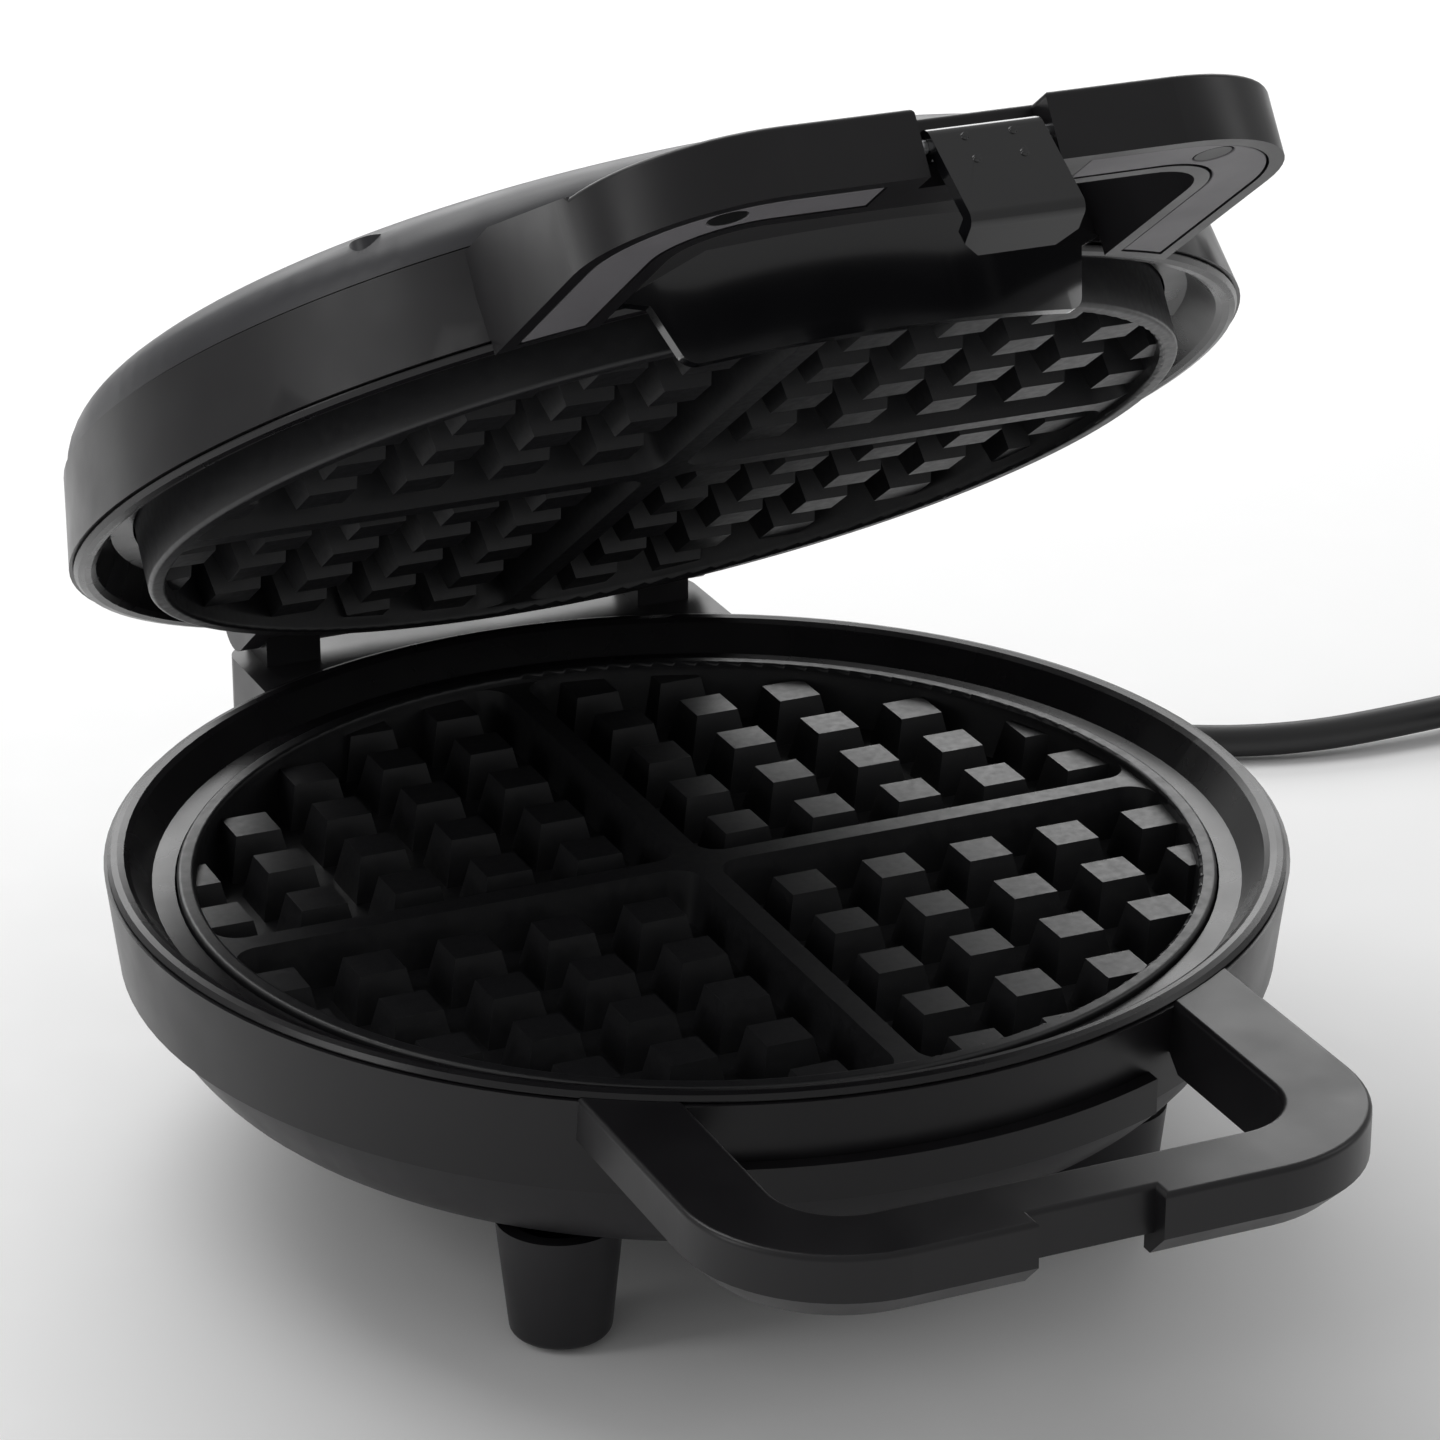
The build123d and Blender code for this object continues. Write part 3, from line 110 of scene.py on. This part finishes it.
coil_side = Vector((coil_heading.y, -coil_heading.x, 0))
coil_begin = Vector(cord_route[-1]) + coil_heading * cord_thickness
coil_centre = coil_begin + coil_side * coil_radius
coil_angle = math.atan2(-coil_side.y, -coil_side.x)


def coil_point(turn):
    """Centre of the cord after a number of clockwise turns, in millimetres."""
    if turn < climb_from:
        radius, lift = coil_radius - coil_pitch * turn, 0.0
    elif turn < climb_to:
        radius = coil_radius - coil_pitch * climb_from
        lift = coil_lift * (turn - climb_from) / 0.5
    else:
        radius = coil_radius - coil_pitch * (coil_turns - turn)
        lift = coil_lift
    angle = coil_angle - 2 * math.pi * turn
    return (
        coil_centre.x + radius * math.cos(angle),
        coil_centre.y + radius * math.sin(angle),
        coil_rest + lift,
    )


turn_steps = int(coil_turns * points_per_turn)
coil_points = [coil_point(step / points_per_turn) for step in range(turn_steps + 1)]
last_angle = coil_angle - 2 * math.pi * coil_turns
leave = Vector((math.sin(last_angle), -math.cos(last_angle), 0))
plug_lead = 24.0
cord_end = tuple(Vector(coil_points[-1]) + leave * plug_lead)
print("coil points:", len(coil_points), "end", [round(v, 1) for v in cord_end])

# %% [markdown]
# The curve could carry its thickness in its bevel depth alone, but Blender then
# takes each point to be a metre wide when it measures the curve's box. So every
# point holds the cord's true radius, and the bevel depth is 1.

# %% The cord as one curve
cord_curve = bpy.data.curves.new("mains_cord_line", "CURVE")
cord_curve.dimensions = "3D"
cord_spline = cord_curve.splines.new("NURBS")
cord_points = cord_route + coil_points + [cord_end]
cord_spline.points.add(len(cord_points) - 1)
for cord_point, place in zip(cord_spline.points, cord_points):
    cord_point.co = (*(Vector(place) * MM), 1.0)
    cord_point.radius = cord_thickness / 2 * MM
cord_spline.order_u = 3
cord_spline.use_endpoint_u = True
cord_spline.resolution_u = 10
cord_curve.bevel_depth = 1.0
cord_curve.bevel_resolution = 6
cord_curve.use_fill_caps = True
cord = bpy.data.objects.new("mains_lead", cord_curve)
bpy.context.scene.collection.objects.link(cord)
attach(cord, "base")
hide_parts("mains_cord", "cord_coil")

# %% [markdown]
# The floor and the light come next. The photograph is a studio picture on
# white, where black plastic gets its form from wide, soft reflections. Large
# area lights do that: a low, broad panel behind and a smaller one above it for
# the pale tops of the pegs and beads, a narrow one at the left for the long glow
# on the casing, and a weak one at the right. A dim white world fills the rest.

# %% Floor and studio light
floor_half_width = 3.0
floor_drop = 0.2 * MM
floor_mesh = bpy.data.meshes.new("studio_floor")
floor_bm = bmesh.new()
bmesh.ops.create_grid(floor_bm, x_segments=1, y_segments=1, size=floor_half_width)
floor_bm.to_mesh(floor_mesh)
floor_bm.free()
studio_floor = bpy.data.objects.new("studio_floor", floor_mesh)
bpy.context.scene.collection.objects.link(studio_floor)
studio_floor.location.z = -floor_drop

light_aim = Vector((0.0, 0.0, 0.08))
world_strength = 0.42


def soft_panel(name, place, width, height, power):
    """A rectangular area light that faces the middle of the cooker."""
    data = bpy.data.lights.new(name, "AREA")
    data.shape = "RECTANGLE"
    data.size = width
    data.size_y = height
    data.energy = power
    lamp = bpy.data.objects.new(name, data)
    lamp.location = place
    facing = light_aim - Vector(place)
    lamp.rotation_euler = facing.to_track_quat("-Z", "Y").to_euler()
    bpy.context.scene.collection.objects.link(lamp)


soft_panel("back_panel", (0.45, 1.5, 0.75), 2.0, 0.7, 13.0)
soft_panel("top_panel", (-0.15, 0.8, 1.25), 1.3, 0.6, 10.0)
soft_panel("left_panel", (-1.3, 0.1, 0.75), 0.35, 0.7, 2.4)
soft_panel("right_panel", (1.3, -0.3, 0.9), 0.3, 0.7, 1.2)
world = bpy.data.worlds.new("studio_air")
world.use_nodes = True
world.node_tree.nodes["Background"].inputs[0].default_value = (1, 1, 1, 1)
world.node_tree.nodes["Background"].inputs[1].default_value = world_strength
bpy.context.scene.world = world
bpy.context.scene.view_settings.view_transform = "Standard"


# %% [markdown]
# Every finish is a small node tree. One function turns a web colour into the
# linear numbers that a shader needs, and one adds a node with its settings and
# its links, so that each material below reads as a short recipe. Patterns use
# object coordinates, which are metres here, so a grain of half a millimetre has
# a scale of 2000.

# %% Helpers for materials
def linear(hex_colour):
    """A web colour such as 1a1a1c as linear red, green, blue and alpha."""
    parts = [int(hex_colour[i:i + 2], 16) / 255 for i in (0, 2, 4)]
    return (*[p / 12.92 if p <= 0.04045 else ((p + 0.055) / 1.055) ** 2.4 for p in parts], 1.0)


def add_node(tree, kind, settings=None, links=None):
    """Adds a node, sets its properties or sockets, and links other outputs in."""
    node = tree.nodes.new(kind)
    for key, value in (settings or {}).items():
        if hasattr(node, key):
            setattr(node, key, value)
        else:
            node.inputs[key].default_value = value
    for key, output in (links or {}).items():
        tree.links.new(output, node.inputs[key])
    return node


def grain_scale(size_mm):
    """Noise scale whose features are about this size."""
    return 1.0 / (size_mm * MM)


def moulded(
    name, colour, other, rough, grain_mm, depth_mm,
    coat=0.0, metal=0.0, mottle_mm=14.0, specular=0.5,
):
    """A finish with fine surface grain, slow colour drift and uneven gloss."""
    material = bpy.data.materials.new(name)
    material.use_nodes = True
    tree = material.node_tree
    tree.nodes.clear()
    place = add_node(tree, "ShaderNodeTexCoord").outputs["Object"]
    slow = add_node(
        tree,
        "ShaderNodeTexNoise",
        {"Scale": grain_scale(mottle_mm), "Detail": 3.0},
        {"Vector": place},
    )
    fine = add_node(
        tree,
        "ShaderNodeTexNoise",
        {"Scale": grain_scale(grain_mm), "Detail": 2.0},
        {"Vector": place},
    )
    tone = add_node(tree, "ShaderNodeMix", {"data_type": "RGBA"})
    tone.inputs[6].default_value = linear(colour)
    tone.inputs[7].default_value = linear(other)
    tree.links.new(slow.outputs["Fac"], tone.inputs[0])
    gloss = add_node(
        tree,
        "ShaderNodeMapRange",
        {"From Min": 0.3, "From Max": 0.7, "To Min": rough * 0.88, "To Max": rough * 1.14},
        {"Value": slow.outputs["Fac"]},
    )
    bump = add_node(
        tree,
        "ShaderNodeBump",
        {"Strength": 0.6, "Distance": depth_mm * MM},
        {"Height": fine.outputs["Fac"]},
    )
    shader = add_node(
        tree,
        "ShaderNodeBsdfPrincipled",
        {
            "Metallic": metal,
            "Coat Weight": coat,
            "Coat Roughness": 0.08,
            "Specular IOR Level": specular,
        },
        {"Base Color": tone.outputs[2], "Roughness": gloss.outputs[0], "Normal": bump.outputs[0]},
    )
    add_node(tree, "ShaderNodeOutputMaterial", {}, {"Surface": shader.outputs[0]})
    return material


# %% [markdown]
# Casing, bowl and dome are moulded ABS with a fine spark texture. The eye gets a
# dull, wide highlight from it. The beads, the latch and the front guard came out
# of polished moulds and reflect the studio clearly. The plates are cast
# aluminium under a sprayed non-stick coat, nearly black, with fine orange peel
# and a sparkle of mica.

# %% Materials of the outside
satin_casing = moulded("satin_abs_casing", "161517", "1c1b1d", 0.34, 0.35, 0.008, specular=0.35)
satin_bowl = moulded("satin_abs_bowl", "1c1b1d", "232225", 0.42, 0.35, 0.010, specular=0.4)
satin_dome = moulded("spark_textured_dome", "222226", "2a2a2e", 0.40, 0.5, 0.015)
polished_panel = moulded("polished_abs_panel", "0b0b0d", "0f0f11", 0.14, 2.5, 0.004, coat=0.4)
polished_bead = moulded("polished_abs_bead", "121113", "171618", 0.28, 1.2, 0.005, specular=0.4)
cover_plastic = moulded("etched_handle_cover", "676568", "706e71", 0.48, 0.4, 0.012)
rubber_feet = moulded("rubber_foot", "161616", "1d1d1d", 0.75, 0.3, 0.02)
cord_pvc = moulded("soft_pvc_cord", "1a1a1b", "232324", 0.48, 0.8, 0.02)
plug_pvc = moulded("moulded_pvc_plug", "141415", "1b1b1c", 0.35, 0.6, 0.01)
tie_plastic = moulded("nylon_tie", "1c1c1c", "262626", 0.5, 0.5, 0.01)

# %% [markdown]
# The coat on the plates needs two patterns at once, so it has its own recipe. A
# Voronoi texture places the mica: only the middle of each cell is a speck. A
# noise makes the orange peel, which moves both the gloss and the bump. Real mica
# is finer than 0.7 mm, and is drawn this coarse so that the render can show it.

# %% Non-stick coat with mica sparkle
speck_mm = 0.7
peel_mm = 1.6


def nonstick_coat():
    """Sprayed ceramic coat: dark, semi-gloss, with orange peel and mica specks."""
    material = bpy.data.materials.new("nonstick_coat")
    material.use_nodes = True
    tree = material.node_tree
    tree.nodes.clear()
    place = add_node(tree, "ShaderNodeTexCoord").outputs["Object"]
    specks = add_node(tree, "ShaderNodeTexVoronoi", {"Scale": grain_scale(speck_mm)}, {"Vector": place})
    speck = add_node(
        tree,
        "ShaderNodeMapRange",
        {"From Min": 0.10, "From Max": 0.16, "To Min": 0.5, "To Max": 0.0},
        {"Value": specks.outputs["Distance"]},
    )
    peel = add_node(
        tree,
        "ShaderNodeTexNoise",
        {"Scale": grain_scale(peel_mm), "Detail": 2.0},
        {"Vector": place},
    )
    tone = add_node(tree, "ShaderNodeMix", {"data_type": "RGBA"})
    tone.inputs[6].default_value = linear("1a1a1c")
    tone.inputs[7].default_value = linear("38383b")
    tree.links.new(speck.outputs[0], tone.inputs[0])
    gloss = add_node(
        tree,
        "ShaderNodeMapRange",
        {"From Min": 0.3, "From Max": 0.7, "To Min": 0.36, "To Max": 0.46},
        {"Value": peel.outputs["Fac"]},
    )
    bump = add_node(
        tree,
        "ShaderNodeBump",
        {"Strength": 0.5, "Distance": 0.02 * MM},
        {"Height": peel.outputs["Fac"]},
    )
    shader = add_node(
        tree,
        "ShaderNodeBsdfPrincipled",
        {"Metallic": 0.0, "IOR": 1.5},
        {"Base Color": tone.outputs[2], "Roughness": gloss.outputs[0], "Normal": bump.outputs[0]},
    )
    add_node(tree, "ShaderNodeOutputMaterial", {}, {"Surface": shader.outputs[0]})
    return material


nonstick = nonstick_coat()

# %% [markdown]
# The metal and the small parts inside are seldom seen, but each still gets the
# finish of its real kind, because the vents, the open hinge and the exported
# meshes show them.

# %% Materials of the inside and the hardware
blacked_screw = moulded("blacked_steel_screw", "1a1a1b", "232324", 0.4, 0.3, 0.006, metal=0.6)
zinc_screw = moulded(
    "zinc_plated_steel", "9a9b9f", "b3b4b6", 0.30, 0.3, 0.004, metal=1.0, mottle_mm=3.0
)
ground_pin = moulded(
    "ground_steel_pin", "a9aaad", "bcbdbf", 0.22, 0.2, 0.002, metal=1.0, mottle_mm=4.0
)
heater_sheath = moulded("oxidised_heater_sheath", "4a4642", "6a635a", 0.42, 0.4, 0.01, metal=1.0)
pan_sheet = moulded("pressed_aluminium_pan", "b9babc", "cfd0d1", 0.28, 0.5, 0.004, metal=1.0)
phenolic = moulded("phenolic_thermostat", "3d2219", "4a2b20", 0.45, 0.6, 0.01)
porcelain = moulded("pale_terminal_moulding", "c9c5b8", "d6d2c6", 0.35, 0.8, 0.006)
glass_sleeve = moulded("woven_glass_sleeve", "b5b2a6", "d0cdc0", 0.7, 0.5, 0.05)
blade_brass = moulded("drawn_brass_blade", "b08d4a", "c6a25c", 0.28, 0.3, 0.003, metal=1.0)
lamp_laminate = moulded("lamp_board_laminate", "6b5a2a", "7b6833", 0.5, 0.4, 0.01)
red_lens = moulded("red_lens", "8a120e", "9c1812", 0.12, 2.0, 0.003, coat=0.5)
green_lens = moulded("green_lens", "116a22", "167a2a", 0.12, 2.0, 0.003, coat=0.5)
floor_finish = moulded("studio_paper", "f4f4f4", "f6f6f6", 0.9, 3.0, 0.01)
floor_mesh.materials.append(floor_finish)

# %% [markdown]
# Now each piece is given its finish. The list runs by finish rather than by
# piece, because one mould shop's plastic is often shared by several pieces.

# %% Which finish each piece wears
finishes = {
    satin_casing: ["base_belt", "lid_belt", "rear_cover"],
    satin_bowl: ["base_bowl"],
    satin_dome: ["lid_dome"],
    polished_panel: ["front_guard", "latch"],
    polished_bead: ["base_bezel", "lid_bezel"],
    cover_plastic: ["handle_cover_left", "handle_cover_right"],
    nonstick: ["lower_plate", "upper_plate"],
    zinc_screw: [
        "rear_cover_screws", "base_screws", "lower_plate_screws", "reflector_screws",
        "upper_plate_screws", "lid_post_screws", "dome_screws",
    ],
    blacked_screw: ["handle_screws"],
    ground_pin: ["hinge_pins", "latch_pin"],
    heater_sheath: ["lower_element", "upper_element"],
    pan_sheet: ["lower_reflector", "upper_reflector"],
    phenolic: ["thermostat"],
    porcelain: ["terminal_block", "thermal_fuse"],
    glass_sleeve: ["mains_leads"],
    rubber_feet: ["foot_pads"],
    cord_pvc: ["strain_relief", "mains_cord", "cord_coil"],
    plug_pvc: ["plug_body"],
    blade_brass: ["plug_blades"],
    tie_plastic: ["cord_tie"],
    lamp_laminate: ["lamp_board"],
    red_lens: ["power_lens"],
    green_lens: ["ready_lens"],
}
finished = set()
for material, names in finishes.items():
    for name in names:
        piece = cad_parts[name]
        piece.data.materials.clear()
        piece.data.materials.append(material)
        finished.add(name)
cord_curve.materials.append(cord_pvc)
print("finished:", len(finished), "missing:", sorted(set(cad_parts) - finished))

# %% [markdown]
# Moulded and cast edges are never knife sharp: a tiny round catches the light
# and draws each piece's outline. The loaded pieces are loose triangles, so a
# Weld joins them and a Bevel with an angle limit then rounds only the true
# edges. Weighted normals keep the long thin triangles from shading in blotches.

# %% Soft edges
soft_edges = {
    "base_belt": 0.45, "lid_belt": 0.45, "lower_plate": 0.5, "upper_plate": 0.5,
    "latch": 0.35, "front_guard": 0.35, "handle_cover_left": 0.25,
    "handle_cover_right": 0.25, "base_bowl": 0.4, "lid_dome": 0.3,
}
join_gap = 0.005 * MM
edge_steps = 2
edge_angle = math.radians(32)
for name, width in soft_edges.items():
    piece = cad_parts[name]
    weld = piece.modifiers.new("join_triangles", "WELD")
    weld.merge_threshold = join_gap
    bevel = piece.modifiers.new("soft_edge", "BEVEL")
    bevel.width = width * MM
    bevel.segments = edge_steps
    bevel.limit_method = "ANGLE"
    bevel.angle_limit = edge_angle
    bevel.use_clamp_overlap = True
    even = piece.modifiers.new("even_shading", "WEIGHTED_NORMAL")
    even.mode = "FACE_AREA"
    even.keep_sharp = True
print("edges softened on", len(soft_edges), "pieces")
